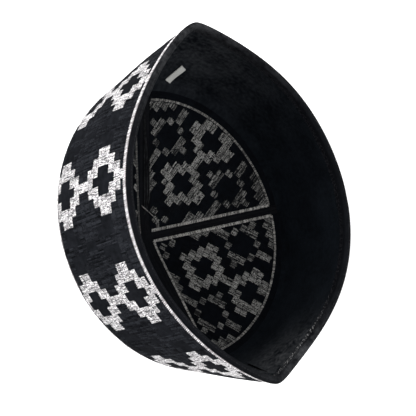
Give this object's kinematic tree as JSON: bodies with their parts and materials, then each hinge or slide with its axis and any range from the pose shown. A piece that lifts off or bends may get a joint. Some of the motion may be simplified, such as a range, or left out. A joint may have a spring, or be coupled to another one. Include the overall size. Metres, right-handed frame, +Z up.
{
  "type": "kufi",
  "caption": "Stiff folding kufi cap lying on its side: tall embroidered wall, white cords, plain lining and a peaked crown of quarter panels joined by cloth channels.",
  "frame": {"origin": "middle of the cap's bounding box at floor level, with the cap lying on its side", "axes": "+X along the cap's long axis from tip to tip, -Y out of the opening and +Y towards the crown's peak, +Z up"},
  "size_m": [0.2248, 0.1196, 0.178],
  "materials": {
    "wall_cloth": "black stiffened cloth with embroidery in white and black thread",
    "rim_cloth": "black rolled binding cloth",
    "lining_cloth": "plain black lining cloth",
    "crown_cloth": "black stiffened cloth embroidered in white and black thread",
    "channel_cloth": "plain black cloth channel",
    "white_thread": "white satin embroidery thread",
    "tab_tape": "blank light tape"
  },
  "bodies": {
    "root": {"wall_shell": "wall_cloth", "wall_lining": "lining_cloth", "rim_binding": "rim_cloth", "rim_cord": "white_thread", "crown_cord": "white_thread", "crown_quarter_1": "crown_cloth", "crown_quarter_2": "crown_cloth", "crown_quarter_3": "crown_cloth", "crown_quarter_4": "crown_cloth", "crown_cross": "channel_cloth", "size_tab": "tab_tape"}
  },
  "joints": []
}
